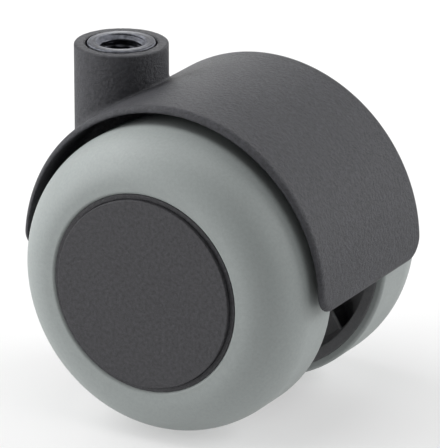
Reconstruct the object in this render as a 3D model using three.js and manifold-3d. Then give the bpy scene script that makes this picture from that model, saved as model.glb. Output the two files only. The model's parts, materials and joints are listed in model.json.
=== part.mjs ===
// Twin-wheel swivel castor for a chair leg: soft-tread wheels under a hooded housing, which turns
// on a threaded steel bush. Units are millimetres and +Z is up. The origin is on the swivel axis,
// on the top face of the bush. The wheels trail the swivel axis towards +X, and the axle runs along Y.

import * as THREE from 'three';
import { mergeVertices } from 'three/addons/utils/BufferGeometryUtils.js';
import Module from 'manifold-3d';

const wasm = await Module();
wasm.setup();

// ---- Driving dimensions ----

const WHEEL_RADIUS = 25;
const FACE_Y = 25.2; // outer face of each wheel's cap, from the middle plane
const CROWN_Y = 24.75; // outer face of each tyre, and of the core's lip in it
const FLANK_Y = 8.7; // inner flank of each wheel
const TRAIL = 18.6; // axle behind the swivel axis
const AXLE_DROP = 31.6; // axle below the top of the bush
const GAP = 0.25; // modelled clearance between pieces that sit on one another

// Housing: hood, neck, central web and axle boss in one moulding
const HOOD_RADIUS = 27.35;
const HOOD_WALL = 1.15; // at the top
const HOOD_END_WALL = 0.9; // at the front and rear ends
const HOOD_HALF_WIDTH = 16.5;
const HOOD_RISE = 0.75; // the hood's centre above the axle
const HOOD_FRONT_LOW = -0.5; // lower edge of the front end, from the axle
const HOOD_REAR_LOW = -1.75; // lower edge of the rear end
const HOOD_CORNER = 3.8;
const NECK_RADIUS = 7.6;
const NECK_TOP = -0.2;
const NECK_EDGE = 0.35;
const WEB_HALF = 1.2;
const BOSS_RADIUS = 5.6;
const BOSS_END = 7.85;

// Neck bore and the bush in it
const BORE_RADIUS = 6;
const LIP_RADIUS = 5.15;
const LIP_TOP = -23.6;
const LIP_BOTTOM = -25;
const FLANGE_RADIUS = 5.5;
const FLANGE_BOTTOM = -2.6;
const SHAFT_RADIUS = 4.75;
const BUSH_BOTTOM = -28.4;
const GROOVE_TOP = -26;
const GROOVE_BOTTOM = -27.2;
const GROOVE_RADIUS = 4.1;
const THREAD_RADIUS = 3.325; // minor radius of an M8 thread
const THREAD_DEPTH = 18.5;
const MOUTH_RADIUS = 4.15;

// Axle and what is on it
const AXLE_RADIUS = 3;
const AXLE_END = 20.6;
const HUB_BORE = 4.5;
const HUB_RADIUS = 6.3;
const HUB_START = 8.9;
const HUB_END = 18.6;
const INNER_WASHER = { outer: 5.4, start: 8.05, end: 8.6 };
const HUB_SLEEVE = { outer: 4.3, start: 9, end: 18.5 };
const OUTER_WASHER = { outer: 5.5, start: 18.85, end: 19.45 };
const RETAINER = { rim: 5.1, cone: 4.4, start: 19.7, end: 20.9, sheet: 0.4 };

// Wheel core and tyre
const RIM_INNER = 22.05;
const RIM_DEEP = [21.2, 13]; // where the rim's inner wall turns towards the web
const WEB_OUTER = 19;
const WEB_Y = 15;
const WEB_THICKNESS = 1.6;
const SEAT_RADIUS = 23.75;
const SEAT_DEPTH = 8.2;
const LIP_OUTER = 16.4;
const LIP_INNER = 15.65;
const POCKET_RADIUS = 14.5; // the core's opening behind the cap
const POCKET_Y = 21.6;
const POCKET_SHOULDER = [19.2, 19.2]; // where the wall behind the cap turns towards the rim
const POCKET_DEEP_RADIUS = 21;
const HUB_FOOT_RADIUS = 6.6;
const TREAD_START = 8.9;
const SHOULDER = [17.8, 15.75]; // centre of the quarter ellipse of the tyre's outer shoulder
const INNER_SHOULDER_RADIUS = 0.95;
const CAP_RADIUS = 15.4;
const CAP_THICKNESS = 1.45;
const SNAP_RADIUS = 14.15;
const SNAP_DEPTH = 1.5;
const GUSSETS = 8;
const GUSSET_THICKNESS = 0.7;
const GUSSET_ANGLE = (42 * Math.PI) / 180;
const GUSSET_CREST = [[22.05, 10.2], [17, 12.3], [14.8, 14.9]]; // from the rim down to the web

// Facets round a full turn
const TYRE_TURN = 40;
const CORE_TURN = 36;
const HOOD_STEPS = 36; // over half a turn
const SMALL_TURN = 24;
const BUSH_TURN = 32;

const QUARTER = Math.PI / 2;

// ---- Materials ----

function finish(color, roughness, metalness = 0) {
  return new THREE.MeshStandardMaterial({ color, roughness, metalness });
}

const HOUSING_NYLON = finish(0x58575c, 0.62);
const CORE_NYLON = finish(0x4a494d, 0.6);
const CAP_NYLON = finish(0x48474c, 0.55);
const TREAD = finish(0x9aa09f, 0.7);
const ZINCED_STEEL = finish(0x9a9ca2, 0.32, 1);
const SPRING_STEEL = finish(0x3a3a3e, 0.4, 1);
const AXLE_STEEL = finish(0xa8a9ad, 0.25, 1);
const ACETAL = finish(0xd9d7d0, 0.45);

// ---- Making solids ----

function toSolid(geometry) {
  geometry.deleteAttribute('normal');
  geometry.deleteAttribute('uv');
  const merged = mergeVertices(geometry);
  const corners = merged.index.array;
  const [a, b, c] = [new THREE.Vector3(), new THREE.Vector3(), new THREE.Vector3()];
  const kept = [];
  let volume = 0;
  for (let i = 0; i < corners.length; i += 3) {
    const [p, q, r] = corners.subarray(i, i + 3);
    if (p === q || q === r || r === p) continue;
    kept.push(p, q, r);
    a.fromBufferAttribute(merged.attributes.position, p);
    b.fromBufferAttribute(merged.attributes.position, q);
    c.fromBufferAttribute(merged.attributes.position, r);
    volume += a.dot(b.cross(c));
  }
  if (volume < 0) kept.reverse();
  return new wasm.Manifold(
    new wasm.Mesh({
      numProp: 3,
      vertProperties: merged.attributes.position.array,
      triVerts: new Uint32Array(kept),
    }),
  );
}

function toGeometry(solid) {
  const mesh = solid.getMesh();
  const geometry = new THREE.BufferGeometry();
  geometry.setAttribute('position', new THREE.BufferAttribute(mesh.vertProperties, 3));
  geometry.setIndex(new THREE.BufferAttribute(mesh.triVerts, 1));
  geometry.computeVertexNormals();
  return geometry;
}

// A solid turned about Y from a closed profile of [radius, y] corners
function turnedAboutY(profile, segments) {
  return toSolid(latheOf(profile, segments));
}

// The same about Z, from a profile of [radius, z] corners
function turnedAboutZ(profile, segments) {
  return toSolid(latheOf(profile, segments).rotateX(QUARTER));
}

function latheOf(profile, segments) {
  const closed = [...profile, profile[0]];
  const points = closed.map(([radius, height]) => new THREE.Vector2(radius, height));
  return new THREE.LatheGeometry(points, segments);
}

function ringProfile(inner, outer, low, high) {
  return [[inner, low], [outer, low], [outer, high], [inner, high]];
}

// A profile drawn for the right wheel, moved to either side of the middle plane
function onSide(profile, side) {
  return profile.map(([radius, y]) => [radius, side * y]);
}

// A quarter of a superellipse, from its radial end to its axial end; an exponent of 2 is an arc
function quarterCurve(centre, reach, exponent, steps) {
  return Array.from({ length: steps + 1 }, (_, i) => {
    const angle = (QUARTER * i) / steps;
    return [
      centre[0] + reach[0] * Math.cos(angle) ** (2 / exponent),
      centre[1] + reach[1] * Math.sin(angle) ** (2 / exponent),
    ];
  });
}

// An outline of (x, z) extruded evenly both ways along Y
function plateAlongY(shape, halfWidth, curveSegments) {
  const plate = new THREE.ExtrudeGeometry(shape, {
    depth: 2 * halfWidth,
    bevelEnabled: false,
    curveSegments,
  });
  return plate.rotateX(QUARTER).translate(0, halfWidth, 0);
}

// ---- Swivel bush and its fittings, about Z ----

function swivelBush() {
  const chamfer = MOUTH_RADIUS - THREAD_RADIUS;
  const drillPoint = 0.58 * THREAD_RADIUS;
  const edge = 0.3;
  const profile = [
    [MOUTH_RADIUS, 0],
    [FLANGE_RADIUS - edge, 0],
    [FLANGE_RADIUS, -edge],
    [FLANGE_RADIUS, FLANGE_BOTTOM],
    [SHAFT_RADIUS, FLANGE_BOTTOM],
    [SHAFT_RADIUS, GROOVE_TOP],
    [GROOVE_RADIUS, GROOVE_TOP],
    [GROOVE_RADIUS, GROOVE_BOTTOM],
    [SHAFT_RADIUS, GROOVE_BOTTOM],
    [SHAFT_RADIUS, BUSH_BOTTOM + edge],
    [SHAFT_RADIUS - edge, BUSH_BOTTOM],
    [0, BUSH_BOTTOM],
    [0, -THREAD_DEPTH - drillPoint],
    [THREAD_RADIUS, -THREAD_DEPTH],
    [THREAD_RADIUS, -chamfer],
  ];
  return turnedAboutZ(profile, BUSH_TURN);
}

function upperThrustWasher() {
  const top = FLANGE_BOTTOM - GAP;
  return turnedAboutZ(ringProfile(SHAFT_RADIUS + 0.2, BORE_RADIUS - GAP, top - 0.6, top), BUSH_TURN);
}

function lowerThrustWasher() {
  const top = LIP_BOTTOM - 0.2;
  return turnedAboutZ(ringProfile(SHAFT_RADIUS + 0.2, BORE_RADIUS - 0.1, top - 0.55, top), BUSH_TURN);
}

// A snap ring with a gap, in the bush's groove
function bushCirclip() {
  const outer = 5.6;
  const inner = GROOVE_RADIUS + 0.15;
  const thickness = 0.9;
  const halfGap = 0.35;
  const clearanceAbove = 0.15;
  const ring = new THREE.Shape();
  ring.absarc(0, 0, outer, halfGap, 2 * Math.PI - halfGap, false);
  ring.absarc(0, 0, inner, 2 * Math.PI - halfGap, halfGap, true);
  const clip = new THREE.ExtrudeGeometry(ring, {
    depth: thickness,
    bevelEnabled: false,
    curveSegments: SMALL_TURN,
  });
  return toSolid(clip.translate(0, 0, GROOVE_TOP - clearanceAbove - thickness));
}

function neckLiner() {
  const top = FLANGE_BOTTOM - GAP - 0.6 - GAP;
  return turnedAboutZ(ringProfile(SHAFT_RADIUS + GAP, BORE_RADIUS - 0.2, LIP_TOP + 0.2, top), BUSH_TURN);
}

// ---- Housing ----

function hoodShell() {
  const innerLength = HOOD_RADIUS - HOOD_END_WALL;
  const innerHeight = HOOD_RADIUS - HOOD_WALL;
  const skirt = 4; // below the lower edges, which the outline cuts
  const section = new THREE.Shape();
  section.moveTo(HOOD_RADIUS, -skirt);
  section.absarc(0, 0, HOOD_RADIUS, 0, Math.PI, false);
  section.lineTo(-HOOD_RADIUS, -skirt);
  section.lineTo(-innerLength, -skirt);
  section.absellipse(0, 0, innerLength, innerHeight, Math.PI, 0, true);
  section.lineTo(innerLength, -skirt);
  const arch = plateAlongY(section, HOOD_HALF_WIDTH + 1, HOOD_STEPS).translate(0, 0, HOOD_RISE);
  return toSolid(arch).intersect(hoodOutlineFromBehind());
}

// What limits the hood in width: straight sides and rounded lower corners, a little lower at the rear
function hoodOutlineFromBehind() {
  const height = 40;
  const length = 60;
  const side = HOOD_HALF_WIDTH;
  const corner = HOOD_CORNER;
  const outline = new THREE.Shape();
  outline.moveTo(side, height);
  outline.lineTo(-side, height);
  outline.absarc(-side + corner, corner, corner, Math.PI, 1.5 * Math.PI, false);
  outline.absarc(side - corner, corner, corner, 1.5 * Math.PI, 2 * Math.PI, false);
  const prism = new THREE.ExtrudeGeometry(outline, {
    depth: length,
    bevelEnabled: false,
    curveSegments: 5,
  });
  const tilt = (HOOD_FRONT_LOW - HOOD_REAR_LOW) / (2 * HOOD_RADIUS);
  const middle = (HOOD_FRONT_LOW + HOOD_REAR_LOW) / 2;
  prism.rotateX(QUARTER).rotateZ(QUARTER).translate(-length / 2, 0, 0);
  return toSolid(prism.rotateY(tilt).translate(0, 0, middle));
}

// The plate between the wheels, which carries the axle boss from the hood and the neck
function centralWeb() {
  const reach = HOOD_RADIUS - HOOD_WALL / 2;
  const rearAngle = 0.14;
  const plate = new THREE.Shape();
  plate.absarc(0, HOOD_RISE, reach, rearAngle, Math.PI, false);
  plate.lineTo(-TRAIL, 0);
  plate.lineTo(-BOSS_RADIUS, -3);
  plate.lineTo(0, -BOSS_RADIUS + 0.6);
  plate.quadraticCurveTo(BOSS_RADIUS, -BOSS_RADIUS + 0.4, 10, 0);
  plate.quadraticCurveTo(16, 4.2, reach * Math.cos(rearAngle), HOOD_RISE + reach * Math.sin(rearAngle));
  return toSolid(plateAlongY(plate, WEB_HALF, 20));
}

function neckBody() {
  const foot = 0.5;
  const edge = quarterCurve(
    [NECK_RADIUS - NECK_EDGE, NECK_TOP - NECK_EDGE],
    [NECK_EDGE, NECK_EDGE],
    2,
    4,
  );
  const profile = [
    [0, -AXLE_DROP],
    [NECK_RADIUS - foot, -AXLE_DROP],
    [NECK_RADIUS, -AXLE_DROP + foot],
    ...edge,
    [0, NECK_TOP],
  ];
  return turnedAboutZ(profile, CORE_TURN);
}

function neckBore() {
  const beyond = 1;
  const profile = [
    [0, beyond],
    [BORE_RADIUS, beyond],
    [BORE_RADIUS, LIP_TOP],
    [LIP_RADIUS, LIP_TOP],
    [LIP_RADIUS, LIP_BOTTOM],
    [BORE_RADIUS + 0.1, LIP_BOTTOM],
    [BORE_RADIUS + 0.1, -AXLE_DROP - beyond],
    [0, -AXLE_DROP - beyond],
  ];
  return turnedAboutZ(profile, BUSH_TURN);
}

function housing() {
  const boss = turnedAboutY(ringProfile(0, BOSS_RADIUS, -BOSS_END, BOSS_END), BUSH_TURN);
  const axleHole = turnedAboutY(
    ringProfile(0, AXLE_RADIUS + 0.15, -BOSS_END - 1, BOSS_END + 1),
    SMALL_TURN,
  );
  const carrier = hoodShell().add(centralWeb()).add(boss).translate([TRAIL, 0, -AXLE_DROP]);
  return carrier
    .add(neckBody())
    .subtract(neckBore())
    .subtract(axleHole.translate([TRAIL, 0, -AXLE_DROP]));
}

// ---- Axle and its fittings, about Y and centred on the axle ----

function axle() {
  const edge = 0.4;
  const profile = [
    [0, -AXLE_END],
    [AXLE_RADIUS - edge, -AXLE_END],
    [AXLE_RADIUS, -AXLE_END + edge],
    [AXLE_RADIUS, AXLE_END - edge],
    [AXLE_RADIUS - edge, AXLE_END],
    [0, AXLE_END],
  ];
  return turnedAboutY(profile, SMALL_TURN);
}

function axleRing(side, { outer, start, end }) {
  return turnedAboutY(ringProfile(AXLE_RADIUS + 0.2, outer, side * start, side * end), SMALL_TURN);
}

// A push-on retainer: a flat rim with a coned middle that grips the axle's end
function pushOnRetainer(side) {
  const { rim, cone, start, end, sheet } = RETAINER;
  const inner = AXLE_RADIUS + 0.15;
  const profile = [
    [rim, start],
    [rim, start + sheet],
    [cone, start + sheet],
    [inner, end],
    [inner, end - sheet],
    [cone - 0.2, start],
  ];
  return turnedAboutY(onSide(profile, side), SMALL_TURN);
}

// ---- Wheel pieces, about Y; side is +1 or -1 ----

// The seat that the tyre grips, grown by an offset so that core and tyre share one curve
function tyreSeat(offset) {
  const reach = [SEAT_RADIUS - LIP_OUTER + offset, SEAT_DEPTH + offset];
  return quarterCurve([LIP_OUTER, WEB_Y], reach, 1.9, 4);
}

// A stiffening rib between the rim and the web, in the wheel's inner recess
function gusset(side) {
  const webMiddle = WEB_Y + WEB_THICKNESS / 2;
  const [rimEnd, bend, foot] = GUSSET_CREST;
  const inRim = RIM_INNER + 0.5;
  const outline = [rimEnd, [inRim, rimEnd[1] + 0.2], [inRim, webMiddle], [foot[0], webMiddle], foot, bend];
  const shape = new THREE.Shape(onSide(outline, side).map(([x, y]) => new THREE.Vector2(x, y)));
  const plate = new THREE.ExtrudeGeometry(shape, { depth: GUSSET_THICKNESS, bevelEnabled: false });
  return plate.translate(0, 0, -GUSSET_THICKNESS / 2);
}

function wheelCore(side) {
  const outerWeb = WEB_Y + WEB_THICKNESS;
  const ledge = FACE_Y - CAP_THICKNESS - GAP;
  const profile = [
    [HUB_BORE, HUB_START],
    [HUB_RADIUS, HUB_START],
    [HUB_FOOT_RADIUS, WEB_Y],
    [WEB_OUTER, WEB_Y],
    RIM_DEEP,
    [RIM_INNER, FLANK_Y],
    [SEAT_RADIUS, FLANK_Y],
    ...tyreSeat(0),
    [LIP_OUTER, CROWN_Y],
    [LIP_INNER, CROWN_Y],
    [LIP_INNER, ledge],
    [POCKET_RADIUS, ledge],
    [POCKET_RADIUS, POCKET_Y],
    POCKET_SHOULDER,
    [POCKET_DEEP_RADIUS, outerWeb],
    [HUB_FOOT_RADIUS, outerWeb],
    [HUB_RADIUS, HUB_END],
    [HUB_BORE, HUB_END],
  ];
  let core = turnedAboutY(onSide(profile, side), CORE_TURN);
  for (let i = 0; i < GUSSETS; i++) {
    const angle = GUSSET_ANGLE + (2 * Math.PI * i) / GUSSETS;
    core = core.add(toSolid(gusset(side).rotateY(angle)));
  }
  return core;
}

function tyre(side) {
  const tread = SEAT_RADIUS + GAP;
  const corner = INNER_SHOULDER_RADIUS;
  const cornerCentre = [WHEEL_RADIUS - corner, TREAD_START + corner];
  const outerEdge = [WHEEL_RADIUS - SHOULDER[0], CROWN_Y - SHOULDER[1]];
  const bore = LIP_OUTER + GAP;
  const lipEdge = 0.4;
  const seat = tyreSeat(GAP).filter(([radius]) => radius > bore + 0.1);
  const profile = [
    [tread, TREAD_START],
    ...quarterCurve(cornerCentre, [corner, -corner], 2, 3).reverse(),
    ...quarterCurve(SHOULDER, outerEdge, 2, 8),
    [bore + lipEdge, CROWN_Y],
    [bore, CROWN_Y - lipEdge],
    [bore, tyreSeat(GAP).at(-1)[1]],
    ...seat.reverse(),
  ];
  return turnedAboutY(onSide(profile, side), TYRE_TURN);
}

// A flat disc that stands proud of the core's lip, with a snap ring behind its edge
function faceCap(side) {
  const back = FACE_Y - CAP_THICKNESS;
  const snapEnd = back - SNAP_DEPTH;
  const snapWall = 1;
  const draft = 0.1;
  const edge = 0.3;
  const profile = [
    [0, FACE_Y],
    [CAP_RADIUS - edge, FACE_Y],
    [CAP_RADIUS, FACE_Y - edge],
    [CAP_RADIUS, back],
    [SNAP_RADIUS, back],
    [SNAP_RADIUS - draft, snapEnd],
    [SNAP_RADIUS - snapWall + draft, snapEnd],
    [SNAP_RADIUS - snapWall, back],
    [0, back],
  ];
  return turnedAboutY(onSide(profile, side), CORE_TURN);
}

// ---- Assembly ----

function piece(name, solid, material) {
  const mesh = new THREE.Mesh(toGeometry(solid), material);
  mesh.name = name;
  return mesh;
}

const castor = new THREE.Group();

castor.add(
  piece('swivel_bush', swivelBush(), ZINCED_STEEL),
  piece('upper_thrust_washer', upperThrustWasher(), ACETAL),
  piece('lower_thrust_washer', lowerThrustWasher(), ZINCED_STEEL),
  piece('bush_circlip', bushCirclip(), SPRING_STEEL),
  piece('neck_liner', neckLiner(), ACETAL),
  piece('housing', housing(), HOUSING_NYLON),
);

const axleGroup = new THREE.Group();
axleGroup.position.set(TRAIL, 0, -AXLE_DROP);
axleGroup.add(piece('axle', axle(), AXLE_STEEL));
castor.add(axleGroup);

for (const [hand, side] of [['left', -1], ['right', 1]]) {
  axleGroup.add(
    piece(`${hand}_inner_washer`, axleRing(side, INNER_WASHER), ACETAL),
    piece(`${hand}_hub_sleeve`, axleRing(side, HUB_SLEEVE), ACETAL),
    piece(`${hand}_outer_washer`, axleRing(side, OUTER_WASHER), ZINCED_STEEL),
    piece(`${hand}_axle_retainer`, pushOnRetainer(side), SPRING_STEEL),
    piece(`${hand}_wheel_core`, wheelCore(side), CORE_NYLON),
    piece(`${hand}_tyre`, tyre(side), TREAD),
    piece(`${hand}_face_cap`, faceCap(side), CAP_NYLON),
  );
}

export default castor;
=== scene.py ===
"""The looks of a twin-wheel swivel castor: soft-tread wheels under a hooded nylon housing that turns
on a threaded steel bush. Shapes are worked out in millimetres and made in metres. The swivel axis
is Z through the origin, the wheels trail towards +X, and the axle runs along Y."""

import json
import math

import bmesh
import bpy
import numpy as np
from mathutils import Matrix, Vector


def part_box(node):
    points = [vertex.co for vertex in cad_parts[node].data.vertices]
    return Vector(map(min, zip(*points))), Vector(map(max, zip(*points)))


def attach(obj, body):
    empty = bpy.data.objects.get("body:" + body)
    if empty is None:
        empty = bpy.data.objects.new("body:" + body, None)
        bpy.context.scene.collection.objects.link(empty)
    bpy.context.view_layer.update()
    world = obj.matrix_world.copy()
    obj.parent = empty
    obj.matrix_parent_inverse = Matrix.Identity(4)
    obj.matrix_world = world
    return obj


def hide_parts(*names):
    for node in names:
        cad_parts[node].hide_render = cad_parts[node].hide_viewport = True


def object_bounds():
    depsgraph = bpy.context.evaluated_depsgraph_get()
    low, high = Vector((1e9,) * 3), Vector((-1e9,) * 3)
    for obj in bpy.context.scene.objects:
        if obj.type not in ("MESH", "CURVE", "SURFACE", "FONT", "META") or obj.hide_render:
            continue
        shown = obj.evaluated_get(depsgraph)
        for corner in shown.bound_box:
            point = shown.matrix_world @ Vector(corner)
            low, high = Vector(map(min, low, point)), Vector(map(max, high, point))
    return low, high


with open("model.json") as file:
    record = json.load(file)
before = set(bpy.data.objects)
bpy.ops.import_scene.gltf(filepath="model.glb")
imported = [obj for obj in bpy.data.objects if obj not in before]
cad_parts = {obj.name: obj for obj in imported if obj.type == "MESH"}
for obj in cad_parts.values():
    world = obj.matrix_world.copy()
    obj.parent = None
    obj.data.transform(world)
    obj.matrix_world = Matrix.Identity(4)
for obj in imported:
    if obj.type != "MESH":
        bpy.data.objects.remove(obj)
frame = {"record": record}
cad_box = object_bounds()

MM = 0.001


def cad_box_mm(node):
    """Lowest and highest corner of a CAD node, in millimetres."""
    return [np.array(corner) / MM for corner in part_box(node)]


# ---- Sizes that the frame gives ----

axle_low, axle_high = cad_box_mm("axle")
AXLE = (axle_low + axle_high) / 2
AXLE_RADIUS = (axle_high[2] - axle_low[2]) / 2
AXLE_END = axle_high[1]

tyre_low, tyre_high = cad_box_mm("right_tyre")
WHEEL_RADIUS = (tyre_high[2] - tyre_low[2]) / 2
CROWN_Y = tyre_high[1]
TREAD_START = tyre_low[1]

core_low, core_high = cad_box_mm("right_wheel_core")
SEAT_RADIUS = (core_high[2] - core_low[2]) / 2
FLANK_Y = core_low[1]

cap_low, cap_high = cad_box_mm("right_face_cap")
CAP_RADIUS = (cap_high[2] - cap_low[2]) / 2
FACE_Y = cap_high[1]
CAP_SNAP_Y = cap_low[1]

housing_low, housing_high = cad_box_mm("housing")
HOOD_RADIUS = (housing_high[0] - housing_low[0]) / 2
HOOD_HALF_WIDTH = housing_high[1]
NECK_TOP = housing_high[2]
BOSS_RADIUS = AXLE[2] - housing_low[2]

bush_low, bush_high = cad_box_mm("swivel_bush")
BUSH_RADIUS = bush_high[0]
BUSH_TOP = bush_high[2]
BUSH_BOTTOM = bush_low[2]

# ---- Sizes of the mouldings, in millimetres ----

HOOD_WALL = 1.15  # at the top
HOOD_END_WALL = 0.9  # at the front and rear ends
HOOD_RISE = 0.75  # the hood's centre above the axle
HOOD_FRONT_LOW = -0.5  # lower edge of the front end, from the axle
HOOD_REAR_LOW = -1.75  # lower edge of the rear end
HOOD_CORNER = 3.8
HOOD_OUTER_EDGE = 1.0
HOOD_INNER_EDGE = 0.15
NECK_RADIUS = 7.6
NECK_EDGE = 0.28
NECK_FILLET = 0.5
NECK_FRONT_FILLET = 1.8
MOUTH_BORE_RADIUS = 5.78  # beside the bush's flange and its washer
MOUTH_BORE_END = -3.6
BORE_RADIUS = 6
LIP_RADIUS = 5.15
LIP_TOP = -23.6
LIP_BOTTOM = -25
WEB_HALF = 1.2
BOSS_END = 7.85

RIM_INNER = 22.05
RIM_DEEP = (21.2, 13)  # where the rim's inner wall turns towards the web
SEAT_DEPTH = 8.2
SEAT_ROUNDING = 1.9  # exponent of the superellipse that the tread is moulded onto
WEB_OUTER = 19
WEB_Y = 15
WEB_THICKNESS = 1.6
HUB_BORE = 4.5
HUB_RADIUS = 6.3
HUB_START = 8.9
HUB_END = 18.6
CORE_LIP_OUTER = 16.2
CORE_LIP_INNER = 15.45
CORE_LIP_DROP = 0.2  # below the tyre's crown
POCKET_RADIUS = 14.5
POCKET_Y = 21.6
POCKET_SHOULDER = (19.2, 19.2)
POCKET_DEEP_RADIUS = 21
CAP_THICKNESS = 1.45
SNAP_RADIUS = 14.15
SNAP_WALL = 1
GAP = 0.25
BOND = 0.05  # between the tyre and the core it is moulded onto

SHOULDER = (17.8, 15.75)  # centre of the quarter ellipse of the tyre's outer shoulder
INNER_SHOULDER_RADIUS = 0.6
TYRE_LIP_REACH = (0.5, 0.42)  # how far the tyre's face curves down beside the core's lip

GUSSETS = 8
GUSSET_ANGLE = math.radians(-42)
GUSSET_HALF = 0.33
GUSSET_CREST = ((22.05, 10.2), (17, 12.3), (14.8, 14.9))  # from the rim down to the web

FLANGE_BOTTOM = -2.6
SHAFT_RADIUS = 4.75
GROOVE_RADIUS = 4.1
GROOVE_TOP = -26
GROOVE_BOTTOM = -27.2
THREAD_PITCH = 1.25  # M8
THREAD_MINOR = 3.325
THREAD_DEEP = 0.677
THREAD_END = -17.4
DRILL_END = -18.5
DRILL_CONE = 0.58  # depth of the drilled hole's cone for each millimetre of its radius
MOUTH_RADIUS = 4.15


# ---- Mesh making ----


def finish_mesh(name, mesh, material, centre):
    """A smooth-shaded object of one material, placed at centre in millimetres."""
    for polygon in mesh.polygons:
        polygon.use_smooth = True
    mesh.materials.append(material)
    piece = bpy.data.objects.new(name, mesh)
    piece.location = Vector(centre) * MM
    bpy.context.scene.collection.objects.link(piece)
    return piece


def solid_piece(name, points, faces, material, centre=(0, 0, 0)):
    """A closed mesh from points in millimetres, smooth except across sharp edges."""
    mesh = bpy.data.meshes.new(name)
    mesh.from_pydata((np.asarray(points) * MM).tolist(), [], faces)
    shell = bmesh.new()
    shell.from_mesh(mesh)
    bmesh.ops.recalc_face_normals(shell, faces=shell.faces)
    shell.to_mesh(mesh)
    shell.free()
    piece = finish_mesh(name, mesh, material, centre)
    mesh.set_sharp_from_angle(angle=math.radians(38))
    weighted = piece.modifiers.new("even faces", "WEIGHTED_NORMAL")
    weighted.keep_sharp = True
    return piece


def rounded(corners, steps=5):
    """An outline from corners of (radius, height, fillet), with an arc wherever a fillet is given."""
    outline = []
    for i, (radius, height, fillet) in enumerate(corners):
        here = np.array((radius, height), float)
        if fillet == 0:
            outline.append(here)
            continue
        before = np.array(corners[i - 1][:2]) - here
        after = np.array(corners[(i + 1) % len(corners)][:2]) - here
        room = 0.49 * min(np.linalg.norm(before), np.linalg.norm(after))
        before /= np.linalg.norm(before)
        after /= np.linalg.norm(after)
        half = math.acos(np.clip(before @ after, -1, 1)) / 2
        reach = min(fillet / math.tan(half), room)
        arc = reach * math.tan(half)
        middle = before + after
        centre = here + middle / np.linalg.norm(middle) * arc / math.sin(half)
        start, end = here + before * reach - centre, here + after * reach - centre
        turn = math.pi - 2 * half
        for t in np.linspace(0, 1, steps + 1):
            outline.append(
                centre + (math.sin((1 - t) * turn) * start + math.sin(t * turn) * end) / math.sin(turn)
            )
    return outline


def divided(outline, longest, closed=True):
    """The outline with points added, so that no stretch of it is longer than longest."""
    ends = outline[1:] + outline[:1] if closed else outline[1:]
    result = []
    for start, end in zip(outline, ends):
        pieces = max(1, math.ceil(np.linalg.norm(end - start) / longest))
        result += [start + (end - start) * t for t in np.arange(pieces) / pieces]
    return result if closed else result + [outline[-1]]


def superellipse(centre, reach, exponent, steps):
    """A quarter of a superellipse, from its radial end to its axial end."""
    quarter = [math.pi / 2 * (3 * t * t - 2 * t**3) for t in np.linspace(0, 1, steps + 1)]
    return [
        np.array(
            (
                centre[0] + reach[0] * math.cos(a) ** (2 / exponent),
                centre[1] + reach[1] * math.sin(a) ** (2 / exponent),
            )
        )
        for a in quarter
    ]


def ring_of_rows(rows, closed):
    """Points and faces of a turned surface. A row is (radii, angles, heights) once round; a row that is
    one number is a pole at that height on the axis."""
    points, faces, starts = [], [], []
    for row in rows:
        starts.append(len(points))
        if np.isscalar(row):
            points.append((0, 0, row))
            continue
        radii, angles, heights = np.broadcast_arrays(*row)
        points += zip(radii * np.cos(angles), radii * np.sin(angles), heights)
    count = len(rows)
    for i in range(count if closed else count - 1):
        below, above = rows[i], rows[(i + 1) % count]
        a, b = starts[i], starts[(i + 1) % count]
        turn = len(above[1] if np.isscalar(below) else below[1])
        for j in range(turn):
            k = (j + 1) % turn
            if np.isscalar(below):
                faces.append((a, b + k, b + j))
            elif np.isscalar(above):
                faces.append((a + j, a + k, b))
            else:
                faces.append((a + j, a + k, b + k, b + j))
    return np.array(points), faces


def about_y(points, side):
    """Points made about Z, laid so that their axis is Y. side is 1 for the right wheel, -1 for the left."""
    return np.stack([points[:, 0], side * points[:, 2], points[:, 1]], 1)


def turned(outline, segments):
    """A surface turned from an outline. An outline that starts on the axis also ends on it."""
    angles = np.arange(segments) * 2 * math.pi / segments
    on_axis = outline[0][0] == 0
    rows = [float(h) if r == 0 else (np.full(segments, r), angles, h) for r, h in outline]
    return ring_of_rows(rows, closed=not on_axis)


def turned_on_axle(name, outline, side, material, segments, longest=1.5):
    """A piece turned about the axle. No stretch of its outline is longer than longest."""
    points, faces = turned(divided(outline, longest, closed=outline[0][0] != 0), segments)
    return solid_piece(name, about_y(points, side), faces, material, AXLE)


def ring_corners(inner, outer, low, high, fillet):
    """Corners of the section of a plain ring."""
    return [(inner, low, fillet), (outer, low, fillet), (outer, high, fillet), (inner, high, fillet)]


# ---- Surfaces from a distance field ----

CELL_CORNERS = [(i, j, k) for i in (0, 1) for j in (0, 1) for k in (0, 1)]


def round_join(a, b, radius):
    """The union of two fields, with a concave fillet where they meet."""
    u = np.maximum(radius - a, 0)
    v = np.maximum(radius - b, 0)
    return np.maximum(radius, np.minimum(a, b)) - np.hypot(u, v)


def round_both(a, b, radius):
    """What two fields share, with its edge rounded."""
    u = np.maximum(radius + a, 0)
    v = np.maximum(radius + b, 0)
    return np.minimum(-radius, np.maximum(a, b)) + np.hypot(u, v)


def gradient(field, points):
    """The field's slope at each point, from differences over a short reach."""
    reach = 0.02
    slopes = []
    for axis in range(3):
        offset = np.zeros(3)
        offset[axis] = reach
        slopes.append(field(*(points + offset).T) - field(*(points - offset).T))
    return np.stack(slopes, 1) / (2 * reach)


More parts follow.
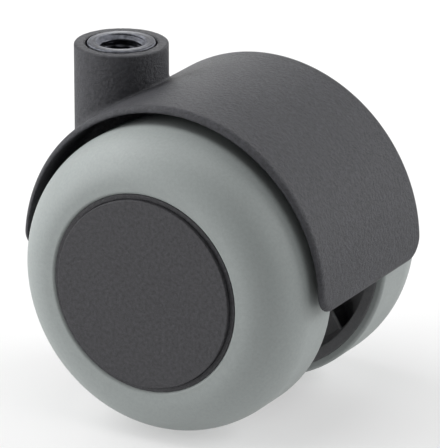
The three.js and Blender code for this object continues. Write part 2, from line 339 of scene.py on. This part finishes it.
def surface_of(field, xs, ys, zs):
    """Points and quads of the field's zero surface, by surface nets on an uneven grid."""
    axes = (xs, ys, zs)
    values = field(xs[:, None, None], ys[None, :, None], zs[None, None, :])
    inside = values < 0
    cells = [n - 1 for n in values.shape]

    def at(grid, corner):
        return grid[tuple(slice(o, o + n) for o, n in zip(corner, cells))]

    filled = sum(at(inside, corner).astype(np.int8) for corner in CELL_CORNERS)
    crossed = (filled > 0) & (filled < 8)
    number = np.full(cells, -1)
    number[crossed] = np.arange(crossed.sum())
    index = np.argwhere(crossed)
    low = np.stack([axis[index[:, i]] for i, axis in enumerate(axes)], 1)
    size = np.stack([np.diff(axis)[index[:, i]] for i, axis in enumerate(axes)], 1)

    corner_values = {corner: at(values, corner)[crossed] for corner in CELL_CORNERS}
    total = np.zeros(low.shape)
    hits = np.zeros(len(low))
    for start in CELL_CORNERS:
        for axis in range(3):
            if start[axis] == 1:
                continue
            end = tuple(1 if i == axis else c for i, c in enumerate(start))
            a, b = corner_values[start], corner_values[end]
            cuts = (a < 0) != (b < 0)
            along = np.where(cuts, a / np.where(cuts, a - b, 1), 0)
            place = np.tile(np.array(start, float), (len(low), 1))
            place[:, axis] += along
            total += place * cuts[:, None]
            hits += cuts
    points = low + size * total / hits[:, None]
    for _ in range(4):
        slope = gradient(field, points)
        step = field(*points.T) / np.maximum((slope**2).sum(1), 0.2)
        points -= np.clip(step[:, None] * slope, -0.3 * size, 0.3 * size)

    quads = []
    for axis in range(3):
        across, up = (axis + 1) % 3, (axis + 2) % 3
        near = np.moveaxis(inside, (axis, across, up), (0, 1, 2))
        net = np.moveaxis(number, (axis, across, up), (0, 1, 2))
        first, second = near[:-1, 1:-1, 1:-1], near[1:, 1:-1, 1:-1]
        loop = [net[:, :-1, :-1], net[:, 1:, :-1], net[:, 1:, 1:], net[:, :-1, 1:]]
        for mask, order in ((first & ~second, (0, 1, 2, 3)), (~first & second, (3, 2, 1, 0))):
            quads.append(np.stack([loop[i][mask] for i in order], 1))
    return points, np.concatenate(quads)


def field_piece(name, field, grid, material):
    """A piece whose surface and normals come from a distance field."""
    points, quads = surface_of(field, *grid)
    mesh = bpy.data.meshes.new(name)
    mesh.from_pydata((points * MM).tolist(), [], quads.tolist())
    piece = finish_mesh(name, mesh, material, (0, 0, 0))
    normals = gradient(field, points)
    normals /= np.linalg.norm(normals, axis=1)[:, None]
    mesh.normals_split_custom_set_from_vertices(normals.tolist())
    return piece


def graded(*stops):
    """Grid positions from (position, spacing) stops; each spacing holds up to the next stop."""
    positions = [np.array([stops[0][0]], float)]
    for (start, spacing), (end, _) in zip(stops, stops[1:]):
        count = max(1, round((end - start) / spacing))
        positions.append(np.linspace(start, end, count + 1)[1:])
    return np.concatenate(positions)


# ---- Housing ----


def smooth_step(value, low, high):
    """0 below low, 1 above high, and an easy rise between."""
    t = np.clip((value - low) / (high - low), 0, 1)
    return t * t * (3 - 2 * t)


def quadratic_arc(start, bend, end, steps):
    """Points of a quadratic Bezier curve."""
    return [
        (
            (1 - t) ** 2 * start[0] + 2 * t * (1 - t) * bend[0] + t * t * end[0],
            (1 - t) ** 2 * start[1] + 2 * t * (1 - t) * bend[1] + t * t * end[1],
        )
        for t in np.linspace(0, 1, steps + 1)
    ]


def web_outline():
    """The central web from the side, as (x, z) from the axle."""
    reach = HOOD_RADIUS - HOOD_WALL / 2
    rear_angle = 0.14
    arch = [
        (reach * math.cos(a), HOOD_RISE + reach * math.sin(a))
        for a in np.linspace(rear_angle, math.pi, 40)
    ]
    front = [(-AXLE[0], 0), (-BOSS_RADIUS, -3), (0, -BOSS_RADIUS + 0.6)]
    under = quadratic_arc(front[-1], (BOSS_RADIUS, -BOSS_RADIUS + 0.4), (10, 0), 8)
    rear = quadratic_arc((10, 0), (16, 4.2), arch[0], 8)
    return arch + front + under[1:] + rear[1:-1]


WEB_OUTLINE = web_outline()


def outline_distance(x, z, outline):
    """Signed distance in a plane to a closed outline; negative inside."""
    nearest = np.full(np.broadcast(x, z).shape, np.inf)
    crossings = np.zeros(nearest.shape, int)
    for (ax, az), (bx, bz) in zip(outline, outline[1:] + outline[:1]):
        ex, ez = bx - ax, bz - az
        t = np.clip(((x - ax) * ex + (z - az) * ez) / (ex * ex + ez * ez), 0, 1)
        nearest = np.minimum(nearest, np.hypot(x - ax - t * ex, z - az - t * ez))
        spans = (az > z) != (bz > z)
        if ez != 0:
            crossings += spans & (x < ax + (z - az) * ex / ez)
    return np.where(crossings % 2 == 1, -nearest, nearest)


def hood_field(x, y, z):
    """The arched shell. Its outline is a straight-sided strip with two rounded corners at each end."""
    height = np.maximum(z - HOOD_RISE, 0)
    outside = np.hypot(x, height) - HOOD_RADIUS
    hollow = (HOOD_RADIUS - HOOD_END_WALL, HOOD_RADIUS - HOOD_WALL)
    inside = (1 - np.hypot(x / hollow[0], height / hollow[1])) * hollow[1]
    lower_edge = HOOD_FRONT_LOW + (HOOD_REAR_LOW - HOOD_FRONT_LOW) * (x + HOOD_RADIUS) / (2 * HOOD_RADIUS)
    into_end = HOOD_CORNER - (z - lower_edge)
    into_side = np.abs(y) - HOOD_HALF_WIDTH + HOOD_CORNER
    corner = np.hypot(np.maximum(into_end, 0), np.maximum(into_side, 0))
    outline = corner + np.minimum(np.maximum(into_end, into_side), 0) - HOOD_CORNER
    return round_both(round_both(outside, outline, HOOD_OUTER_EDGE), inside, HOOD_INNER_EDGE)


def neck_field(x, y, z):
    """The upright tube, from its top down to the axle's height."""
    radial = np.hypot(x, y)
    tube = round_both(radial - NECK_RADIUS, z - NECK_TOP, NECK_EDGE)
    return round_both(tube, AXLE[2] - z, 0.4)


def bore_field(x, y, z):
    """The stepped bore that the bush turns in."""
    radial = np.hypot(x, y)
    mouth = np.maximum(radial - MOUTH_BORE_RADIUS, LIP_TOP - z)
    upper = np.maximum(radial - BORE_RADIUS, np.maximum(LIP_TOP - z, z - MOUTH_BORE_END))
    lower = np.maximum(radial - BORE_RADIUS - 0.1, z - LIP_BOTTOM)
    return np.minimum(np.minimum(mouth, upper), np.minimum(lower, radial - LIP_RADIUS))


def housing_field(x, y, z):
    """Signed distance to the housing's surface, in millimetres; negative inside."""
    ax, az = x - AXLE[0], z - AXLE[2]
    hood = hood_field(ax, y, az)
    web = round_both(outline_distance(ax, az, WEB_OUTLINE), np.abs(y) - WEB_HALF, 0.3)
    from_axle = np.hypot(ax, az)
    boss = round_both(from_axle - BOSS_RADIUS, np.abs(y) - BOSS_END, 0.3)
    carrier = round_join(hood, round_join(web, boss, 0.8), 0.6)

    above_hood = np.hypot(ax, np.maximum(az - HOOD_RISE, 0)) - HOOD_RADIUS + HOOD_WALL / 2
    outside = smooth_step(above_hood, -0.5, 0.5)
    high_up = smooth_step(z, -29, -17)
    in_front = smooth_step(-x, -4, 3)
    fillet = NECK_FILLET + (NECK_FRONT_FILLET - NECK_FILLET) * outside * high_up * in_front
    body = round_join(carrier, neck_field(x, y, z), fillet)
    body = round_both(body, -bore_field(x, y, z), 0.14)
    return round_both(body, AXLE_RADIUS + 0.15 - from_axle, 0.2)


def housing():
    """The whole moulding, on a grid that is finest at the hood's edges and the neck's top."""
    margin = 0.6
    across = graded(
        (housing_low[0] - margin, 0.35),
        (AXLE[0] - HOOD_RADIUS - margin, 0.35),
        (AXLE[0] - HOOD_RADIUS + 1.5, 0.35),
        (housing_high[0] + margin, 0),
    )
    side = graded(
        (0, 0.3),
        (WEB_HALF + 0.6, 0.45),
        (HOOD_HALF_WIDTH - HOOD_CORNER - 0.6, 0.3),
        (HOOD_HALF_WIDTH - 0.6, 0.15),
        (HOOD_HALF_WIDTH + 0.3, 0),
    )
    both_sides = np.concatenate([-side[:0:-1], side])
    up = graded((housing_low[2] - margin, 0.36), (NECK_TOP - 1.4, 0.2), (NECK_TOP + 0.4, 0))
    return field_piece("housing_moulding", housing_field, (across, both_sides, up), NYLON_GRAINED)


# ---- Swivel bush ----


def thread_radius(angles, height):
    """The M8 thread's surface: flat at its crests and roots, with 60 degree flanks."""
    crest_half = 1 / 8
    root_start = 7 / 16
    phase = (height / THREAD_PITCH - angles / (2 * math.pi)) % 1
    from_crest = np.minimum(phase, 1 - phase)
    cut = np.clip((from_crest - crest_half) / (root_start - crest_half), 0, 1)
    run_out = smooth_step(height, THREAD_END, THREAD_END + THREAD_PITCH)
    return THREAD_MINOR + THREAD_DEEP * cut * run_out


def swivel_bush():
    """The bush as one closed skin, from the middle of its foot, up the outside and down the thread."""
    segments = 144
    angles = np.arange(segments) * 2 * math.pi / segments
    outside = [
        (0, BUSH_BOTTOM, 0),
        (SHAFT_RADIUS, BUSH_BOTTOM, 0.3),
        (SHAFT_RADIUS, GROOVE_BOTTOM, 0.1),
        (GROOVE_RADIUS, GROOVE_BOTTOM, 0.1),
        (GROOVE_RADIUS, GROOVE_TOP, 0.1),
        (SHAFT_RADIUS, GROOVE_TOP, 0.1),
        (SHAFT_RADIUS, FLANGE_BOTTOM, 0.1),
        (BUSH_RADIUS, FLANGE_BOTTOM, 0.15),
        (BUSH_RADIUS, BUSH_TOP, 0.3),
        (MOUTH_RADIUS, BUSH_TOP, 0.08),
        (MOUTH_RADIUS - 0.3, BUSH_TOP - 0.3, 0),
    ]
    outline = divided(rounded(outside), 1.2, closed=False)
    rows = [float(h) if r == 0 else (np.full(segments, r), angles, h) for r, h in outline[:-1]]
    chamfer_end = -1.1
    in_chamfer = np.arange(-0.1, chamfer_end, -0.06)
    in_thread = np.arange(chamfer_end, DRILL_END, -THREAD_PITCH / 10)
    for height in np.concatenate([in_chamfer, in_thread]):
        chamfer = MOUTH_RADIUS + height - 0.02
        rows.append((np.maximum(thread_radius(angles, height), chamfer), angles, height))
    cone = DRILL_CONE * THREAD_MINOR
    for t in np.linspace(0, 1, 6)[:-1]:
        rows.append((np.full(segments, THREAD_MINOR * (1 - t)), angles, DRILL_END - cone * t))
    rows.append(DRILL_END - cone)
    points, faces = ring_of_rows(rows, closed=False)
    return solid_piece("bush_turned", points, faces, BLACK_ZINC)


def circlip():
    """An open snap ring of rounded square section, in the bush's groove."""
    low, high = cad_box_mm("bush_circlip")
    inner = GROOVE_RADIUS + 0.15
    half_gap = 0.35  # half the opening, in radians
    section = rounded(ring_corners(inner, high[1], low[2], high[2], 0.12), 3)
    angles = np.linspace(half_gap, 2 * math.pi - half_gap, 72)
    points = [(r * math.cos(a), r * math.sin(a), h) for a in angles for r, h in section]
    n = len(section)
    faces = []
    for i in range(len(angles) - 1):
        for j in range(n):
            k = (j + 1) % n
            faces.append((i * n + j, i * n + k, (i + 1) * n + k, (i + 1) * n + j))
    faces.append(tuple(range(n))[::-1])
    faces.append(tuple(range((len(angles) - 1) * n, len(angles) * n)))
    return solid_piece("bush_snap_ring", points, faces, SPRING)


def ring_on_swivel(node, inner, material):
    """A plain ring about the swivel axis, in its CAD box."""
    low, high = cad_box_mm(node)
    corners = ring_corners(inner, high[0], low[2], high[2], 0.08)
    points, faces = turned(divided(rounded(corners), 1.5), 128)
    return solid_piece(node + "_turned", points, faces, material)


# ---- Wheels ----


def tyre(hand, side):
    """The soft tread: a full rounded shoulder outside, a smaller one inside, and a lip round the core."""
    bore = CORE_LIP_OUTER + BOND
    tread = SEAT_RADIUS + BOND
    seat_reach = (tread - CORE_LIP_OUTER, SEAT_DEPTH + BOND)
    seat = superellipse((CORE_LIP_OUTER, WEB_Y), seat_reach, SEAT_ROUNDING, 24)
    seat = [p for p in seat if p[0] > bore + 0.1]
    corner = INNER_SHOULDER_RADIUS
    inner_centre = (WHEEL_RADIUS - corner, TREAD_START + corner)
    outer_reach = (WHEEL_RADIUS - SHOULDER[0], CROWN_Y - SHOULDER[1])
    inner = [np.array((tread, TREAD_START))] + superellipse(inner_centre, (corner, -corner), 2, 16)[::-1]
    outer = superellipse(SHOULDER, outer_reach, 2, 44)
    lip_centre = (bore + TYRE_LIP_REACH[0], CROWN_Y - TYRE_LIP_REACH[1])
    lip = superellipse(lip_centre, (-TYRE_LIP_REACH[0], TYRE_LIP_REACH[1]), 1.6, 12)[::-1]
    foot = np.array((bore, seat[-1][1]))
    outline = inner + outer + lip + [foot] + seat[::-1]
    return turned_on_axle(f"{hand}_tyre_moulded", outline, side, TREAD, 192, 0.9)


def core_outline():
    """The wheel body's section from the hub's inner end, over the recess and the rim, and back by the lip.
    It comes with a flag for each point that lies in the inner recess, where the gussets stand."""
    outer_web = WEB_Y + WEB_THICKNESS
    hub_foot = HUB_RADIUS + 0.3
    ledge = FACE_Y - CAP_THICKNESS - GAP
    lip_top = CROWN_Y - CORE_LIP_DROP
    hub = [(HUB_BORE, HUB_START, 0.15), (HUB_RADIUS, HUB_START, 0.25)]
    recess = [(hub_foot, WEB_Y, 0.6), (WEB_OUTER, WEB_Y, 1.2), (*RIM_DEEP, 0.8)]
    rim = [(RIM_INNER, FLANK_Y, 0.25), (SEAT_RADIUS, FLANK_Y, 0.12), (SEAT_RADIUS, WEB_Y, 0)]
    lip = [
        (CORE_LIP_OUTER, lip_top, 0.05),
        (CORE_LIP_INNER, lip_top, 0.08),
        (CORE_LIP_INNER, ledge, 0),
        (POCKET_RADIUS, ledge, 0.1),
        (POCKET_RADIUS, POCKET_Y, 0.3),
        (*POCKET_SHOULDER, 0.6),
        (POCKET_DEEP_RADIUS, outer_web, 0.4),
        (hub_foot, outer_web, 0.5),
        (HUB_RADIUS, HUB_END, 0.25),
        (HUB_BORE, HUB_END, 0.15),
    ]
    inner_half = rounded(hub + recess + rim + lip)
    seat_reach = (SEAT_RADIUS - CORE_LIP_OUTER, SEAT_DEPTH)
    seat = superellipse((CORE_LIP_OUTER, WEB_Y), seat_reach, SEAT_ROUNDING, 20)
    seat_corner = next(i for i, p in enumerate(inner_half) if tuple(p) == (SEAT_RADIUS, WEB_Y))
    outline = inner_half[:seat_corner] + seat + inner_half[seat_corner + 1 :]
    longest = 0.34
    outline = divided(outline, longest)
    in_recess = [HUB_RADIUS + 0.7 < r < RIM_INNER + 0.5 and h <= WEB_Y for r, h in outline]
    return outline, in_recess


def gusset_crest(radius):
    """Height of a gusset's free edge: along the rim's side it is flat, and nearer the hub it is steep."""
    (rim_r, rim_y), (bend_r, bend_y), (foot_r, foot_y) = GUSSET_CREST
    flat = rim_y + (bend_y - rim_y) * (rim_r - radius) / (rim_r - bend_r)
    steep = bend_y + (foot_y - bend_y) * (bend_r - radius) / (bend_r - foot_r)
    return max(flat, steep)


def wheel_core(hand, side):
    """The wheel body with radial gussets, which rise out of the recess towards the rim. The lip that
    shows round the cap has the cap's grain."""
    outline, in_recess = core_outline()
    fillet = 0.3
    top_round = 0.14
    beside = GUSSET_HALF + fillet * (1 - np.cos(np.linspace(0, math.pi / 2, 5)))
    on_top = GUSSET_HALF - top_round * (1 - np.sin(np.linspace(0, math.pi / 2, 4)))
    offsets = np.concatenate([[0.0, 0.1], on_top, beside + 0.004])
    spread = np.linspace(0, 1, 9)[1:]
    half_sector = math.pi / GUSSETS

    rows = []
    for (radius, height), hollow in zip(outline, in_recess):
        near = offsets / radius
        half = np.concatenate([near, near[-1] + spread * (half_sector - near[-1])])
        distance = np.concatenate([offsets, np.full(len(spread), np.inf)])
        angles = np.concatenate([-half[-2:0:-1], half])
        distance = np.concatenate([distance[-2:0:-1], distance])
        turn = GUSSET_ANGLE + 2 * half_sector * np.arange(GUSSETS)
        angles = (turn[:, None] + angles[None, :]).ravel()
        distance = np.tile(distance, GUSSETS)
        heights = np.full(len(angles), height)
        if hollow:
            rise = max(0.0, height - gusset_crest(radius))
            wall = np.clip(distance - GUSSET_HALF, 0, fillet)
            beside_rise = fillet - np.sqrt(fillet**2 - (fillet - wall) ** 2)
            edge = np.clip(distance - GUSSET_HALF + top_round, 0, top_round)
            top_drop = top_round - np.sqrt(top_round**2 - edge**2)
            on_gusset = distance <= GUSSET_HALF + 1e-6
            lift = np.where(on_gusset, np.maximum(rise - top_drop, 0), np.minimum(beside_rise, rise))
            heights = height - lift
        rows.append((np.full(len(angles), radius), angles, heights))
    points, faces = ring_of_rows(rows, closed=True)
    # The body's nylon is painted lighter than the hood's, standing in for light that falls in the shaded
    # recess.
    core = solid_piece(f"{hand}_core_moulded", about_y(points, side), faces, NYLON_PAINTED_LIGHTER, AXLE)
    core.data.materials.append(NYLON_CAP)
    for face in core.data.polygons:
        if abs(face.center.y) > POCKET_Y * MM:
            face.material_index = 1
    return core


def face_cap(hand, side):
    """A flat disc that snaps into the core, with a ring behind its edge."""
    back = FACE_Y - CAP_THICKNESS
    corners = [
        (0, FACE_Y, 0),
        (CAP_RADIUS, FACE_Y, 0.16),
        (CAP_RADIUS, back, 0.1),
        (SNAP_RADIUS, back, 0.1),
        (SNAP_RADIUS - 0.1, CAP_SNAP_Y, 0.15),
        (SNAP_RADIUS - SNAP_WALL + 0.1, CAP_SNAP_Y, 0.15),
        (SNAP_RADIUS - SNAP_WALL, back, 0.15),
        (0, back, 0),
    ]
    return turned_on_axle(f"{hand}_cap_moulded", rounded(corners), side, NYLON_CAP, 144)


def ring_on_axle(node, inner, side, material):
    """A plain ring about the axle, in its CAD box."""
    low, high = cad_box_mm(node)
    near, far = sorted((abs(low[1]), abs(high[1])))
    corners = ring_corners(inner, high[2] - AXLE[2], near, far, 0.08)
    return turned_on_axle(node + "_turned", rounded(corners), side, material, 96)


def axle_pin():
    """The pin across both wheels, with rounded ends."""
    edge = 0.4
    corners = [
        (0, -AXLE_END, 0),
        (AXLE_RADIUS, -AXLE_END, edge),
        (AXLE_RADIUS, AXLE_END, edge),
        (0, AXLE_END, 0),
    ]
    return turned_on_axle("axle_pin", rounded(corners), 1, AXLE_STEEL, 96)


def push_on_retainer(hand, side):
    """A pressed retainer: a flat rim, and a cone that grips the axle's end."""
    low, high = cad_box_mm(f"{hand}_axle_retainer")
    near, far = sorted((abs(low[1]), abs(high[1])))
    outer = high[2] - AXLE[2]
    inner = AXLE_RADIUS + 0.15
    sheet = 0.4
    cone_foot = 4.4
    corners = [
        (outer, near, 0.1),
        (outer, near + sheet, 0.1),
        (cone_foot, near + sheet, 0.3),
        (inner, far, 0.06),
        (inner, far - sheet, 0.06),
        (cone_foot - sheet / 2, near, 0.3),
    ]
    return turned_on_axle(f"{hand}_retainer_pressed", rounded(corners), side, SPRING, 96)


# ---- Materials ----


def new_material(name, color, roughness, metallic=0.0, specular=0.5):
    """A material of one plain shader."""
    material = bpy.data.materials.new(name)
    material.use_nodes = True
    shader = material.node_tree.nodes["Principled BSDF"]
    shader.inputs["Base Color"].default_value = (*color, 1)
    shader.inputs["Roughness"].default_value = roughness
    shader.inputs["Metallic"].default_value = metallic
    shader.inputs["Specular IOR Level"].default_value = specular
    return material


def add_node(material, kind, settings=(), **values):
    """A shader node with its settings and its inputs, given by name or, as _0 and _1, by number. A value
    that is a socket is linked."""
    node = material.node_tree.nodes.new("ShaderNode" + kind)
    for key, value in dict(settings).items():
        setattr(node, key, value)
    for key, value in values.items():
        socket = node.inputs[int(key[1:])] if key.startswith("_") else node.inputs[key.replace("_", " ")]
        if isinstance(value, bpy.types.NodeSocket):
            material.node_tree.links.new(value, socket)
        else:
            socket.default_value = value
    return node


def object_place(material):
    """Where a point is in its piece's own frame, in metres."""
    return add_node(material, "TexCoord").outputs["Object"]


def noise_of(material, place, size, detail=2.0, rough=0.5):
    """Cloudy noise with features of about size, in metres."""
    noise = add_node(material, "TexNoise", Vector=place, Scale=1 / size, Detail=detail, Roughness=rough)
    return noise.outputs["Fac"]


def between(material, value, low, high):
    """value spread over low to high."""
    spread = add_node(
        material, "MapRange", Value=value, From_Min=0.3, From_Max=0.7, To_Min=low, To_Max=high
    )
    return spread.outputs["Result"]


def shade_between(material, value, dark, light):
    """Base colour that wanders between two shades."""
    spread = between(material, value, 0, 1)
    mix = add_node(material, "Mix", {"data_type": "RGBA"}, Factor=spread, A=(*dark, 1), B=(*light, 1))
    shader = material.node_tree.nodes["Principled BSDF"]
    material.node_tree.links.new(mix.outputs["Result"], shader.inputs["Base Color"])


def bump_by(material, height, depth):
    """Surface relief from a height socket, depth metres deep."""
    shader = material.node_tree.nodes["Principled BSDF"]
    bump = add_node(material, "Bump", Height=height, Distance=depth, Strength=1.0)
    material.node_tree.links.new(bump.outputs["Normal"], shader.inputs["Normal"])


def rough_by(material, value, low, high):
    """Roughness that wanders between low and high."""
    shader = material.node_tree.nodes["Principled BSDF"]
    material.node_tree.links.new(between(material, value, low, high), shader.inputs["Roughness"])


def grained(name, color, grain, depth, roughness, mottle=0.08):
    """A matt surface with a grain, such as moulded nylon: pits of many sizes, and a shade that follows
    them."""
    material = new_material(name, color, roughness, specular=0.4)
    place = object_place(material)
    pits = noise_of(material, place, grain, detail=4, rough=0.75)
    patches = noise_of(material, place, 0.006, detail=2)
    shade_between(material, pits, [c * (1 - mottle) for c in color], [c * (1 + mottle) for c in color])
    rough_by(material, patches, roughness - 0.015, roughness + 0.015)
    bump_by(material, pits, depth)
    return material


def soft_tread(name, color):
    """Thermoplastic rubber: satin, with a very fine matt skin."""
    material = new_material(name, color, 0.5, specular=0.35)
    place = object_place(material)
    fine = noise_of(material, place, 0.0005, detail=4, rough=0.7)
    patches = noise_of(material, place, 0.008, detail=3, rough=0.55)
    shade_between(material, fine, [c * 0.94 for c in color], [c * 1.06 for c in color])
    rough_by(material, patches, 0.46, 0.56)
    bump_by(material, fine, 0.00001)
    return material


def turned_metal(name, color, roughness, axis, pitch=0.00012, depth=0.000004, blotch=0.05):
    """Machined steel with fine tool rings about its axis. axis is Z or Y."""
    material = new_material(name, color, roughness, metallic=1.0)
    shader = material.node_tree.nodes["Principled BSDF"]
    shader.inputs["Anisotropic"].default_value = 0.7
    tangent = add_node(material, "Tangent", {"direction_type": "RADIAL", "axis": axis}).outputs["Tangent"]
    material.node_tree.links.new(tangent, shader.inputs["Tangent"])
    place = object_place(material)
    flat = (1, 1, 0) if axis == "Z" else (1, 0, 1)
    radial = add_node(material, "VectorMath", {"operation": "MULTIPLY"}, _0=place, _1=flat).outputs[0]
    radius = add_node(material, "VectorMath", {"operation": "LENGTH"}, _0=radial).outputs["Value"]
    height = add_node(material, "SeparateXYZ", Vector=place).outputs[axis]
    along = add_node(material, "Math", {"operation": "ADD"}, _0=radius, _1=height).outputs[0]
    lines = {"noise_dimensions": "1D"}
    rings = add_node(material, "TexNoise", lines, W=along, Scale=1 / pitch, Detail=1.0).outputs["Fac"]
    patches = noise_of(material, place, 0.0012, detail=3, rough=0.6)
    shade_between(material, patches, [c * (1 - blotch) for c in color], [c * (1 + blotch) for c in color])
    rough_by(material, patches, roughness - 0.05, roughness + 0.08)
    bump_by(material, rings, depth)
    return material


NYLON_GRAINED = grained(
    "grained nylon", (0.039, 0.0395, 0.0455), grain=0.0006, depth=0.0003, roughness=0.6, mottle=0.4
)
# The wheel cores' nylon is the same dark nylon as the hood's, painted about two and a half times lighter to
# stand in for light in the shaded recess inside each wheel.
NYLON_PAINTED_LIGHTER = grained(
    "nylon painted lighter", (0.105, 0.106, 0.11), grain=0.0005, depth=0.00005, roughness=0.55, mottle=0.15
)
NYLON_CAP = grained(
    "cap nylon", (0.0395, 0.039, 0.0435), grain=0.0006, depth=0.0002, roughness=0.6, mottle=0.45
)
TREAD = soft_tread("tread rubber", (0.282, 0.306, 0.301))
BLACK_ZINC = turned_metal(
    "black-passivated steel", (0.11, 0.114, 0.13), 0.45, "Z", pitch=0.0003, depth=0.00005, blotch=0.6
)
ZINC = turned_metal("zinc-plated steel", (0.62, 0.63, 0.66), 0.35, "Z")
ZINC_WASHER = turned_metal("zinc-plated washer", (0.62, 0.63, 0.66), 0.35, "Y")
AXLE_STEEL = turned_metal("ground steel", (0.66, 0.66, 0.67), 0.25, "Y")
SPRING = grained(
    "blackened spring steel", (0.02, 0.02, 0.022), grain=0.0002, depth=0.000003, roughness=0.35
)
ACETAL = grained("acetal", (0.68, 0.66, 0.6), grain=0.0005, depth=0.000003, roughness=0.4, mottle=0.02)


# ---- Pieces on their bodies ----

RECORD = frame["record"]
BODY_OF = {node: body for body, nodes in RECORD["behaviour"]["bodies"].items() for node in nodes}


def stands_for(piece, node):
    """Puts a piece on its body, in place of its CAD node."""
    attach(piece, BODY_OF[node])
    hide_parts(node)


stands_for(housing(), "housing")
stands_for(swivel_bush(), "swivel_bush")
stands_for(circlip(), "bush_circlip")
on_bush = SHAFT_RADIUS + 0.2
stands_for(ring_on_swivel("upper_thrust_washer", on_bush, ACETAL), "upper_thrust_washer")
stands_for(ring_on_swivel("lower_thrust_washer", on_bush, ZINC), "lower_thrust_washer")
stands_for(ring_on_swivel("neck_liner", SHAFT_RADIUS + GAP, ACETAL), "neck_liner")
stands_for(axle_pin(), "axle")
on_axle = AXLE_RADIUS + 0.2
for hand, side in (("left", -1), ("right", 1)):
    stands_for(tyre(hand, side), f"{hand}_tyre")
    stands_for(wheel_core(hand, side), f"{hand}_wheel_core")
    stands_for(face_cap(hand, side), f"{hand}_face_cap")
    stands_for(push_on_retainer(hand, side), f"{hand}_axle_retainer")
    for kind, material in (("inner_washer", ACETAL), ("outer_washer", ZINC_WASHER), ("hub_sleeve", ACETAL)):
        node = f"{hand}_{kind}"
        stands_for(ring_on_axle(node, on_axle, side, material), node)


# ---- Floor, light and camera ----


def floor():
    """A pale floor, which curves up into a low wall all round, a long way off."""
    clearance = 0.00002
    low = cad_box[0][2] - clearance
    flat = 2.6
    sweep = 0.4
    turns = np.linspace(0, 2 * math.pi, 96, endpoint=False)
    bends = np.linspace(0, math.pi / 2, 12)
    points = [(0.0, 0.0, low)]
    for bend in bends:
        radius = flat + sweep * math.sin(bend)
        height = low + sweep * (1 - math.cos(bend))
        points += [(radius * math.cos(turn), radius * math.sin(turn), height) for turn in turns]
    n = len(turns)
    faces = [(0, 1 + i, 1 + (i + 1) % n) for i in range(n)]
    for row in range(len(bends) - 1):
        inner = 1 + row * n
        outer = inner + n
        faces += [(inner + i, outer + i, outer + (i + 1) % n, inner + (i + 1) % n) for i in range(n)]
    mesh = bpy.data.meshes.new("floor")
    mesh.from_pydata(points, [], faces)
    mesh.polygons.foreach_set("use_smooth", [True] * len(faces))
    material = new_material("pale floor", (0.45, 0.45, 0.45), 0.9, specular=0.1)
    shader = material.node_tree.nodes["Principled BSDF"]
    shader.inputs["Emission Color"].default_value = (1, 1, 1, 1)
    shader.inputs["Emission Strength"].default_value = 0.42
    mesh.materials.append(material)
    plane = bpy.data.objects.new("floor", mesh)
    bpy.context.scene.collection.objects.link(plane)


def aimed(name, data, target, direction, distance):
    """A light or camera that looks at target from an (azimuth, elevation) direction in degrees."""
    azimuth, elevation = (math.radians(angle) for angle in direction)
    away = Vector(
        (
            math.sin(azimuth) * math.cos(elevation),
            -math.cos(azimuth) * math.cos(elevation),
            math.sin(elevation),
        )
    )
    item = bpy.data.objects.new(name, data)
    item.location = target + away * distance
    item.rotation_mode = "QUATERNION"
    item.rotation_quaternion = (-away).to_track_quat("-Z", "Y")
    bpy.context.scene.collection.objects.link(item)
    return item


def softbox(name, direction, power, target):
    """A square area light."""
    light = bpy.data.lights.new(name, "AREA")
    light.size = 0.3
    light.energy = power
    aimed(name, light, target, direction, 0.5)


def studio():
    """Softboxes all round, strongest at the front left and the rear right, and a faint white world."""
    target = Vector(AXLE) * MM
    softbox("key", (-52, 17), 1.55, target)
    softbox("high left", (-68, 48), 0.9, target)
    softbox("side left", (-95, 35), 0.85, target)
    softbox("top", (0, 85), 0.7, target)
    softbox("side right", (90, 30), 0.48, target)
    softbox("rear right", (140, 25), 1.8, target)
    softbox("rear", (180, 20), 0.2, target)
    softbox("rear left", (-150, 12), 0.85, target)
    world = bpy.data.worlds.new("studio")
    world.use_nodes = True
    background = world.node_tree.nodes["Background"]
    background.inputs["Color"].default_value = (1, 1, 1, 1)
    background.inputs["Strength"].default_value = 0.03
    bpy.context.scene.world = world
    bpy.context.scene.view_settings.view_transform = "Standard"


def camera():
    """A long lens that looks down a little, from the front and to one side."""
    data = bpy.data.cameras.new("camera")
    data.lens = 393.5
    data.clip_start = 0.01
    target = Vector((AXLE[0] - 0.43, 0, AXLE[2] + 3.78)) * MM
    direction = (29.9, 19.9)
    distance = 0.7828
    bpy.context.scene.camera = aimed("camera", data, target, direction, distance)


floor()
studio()
camera()
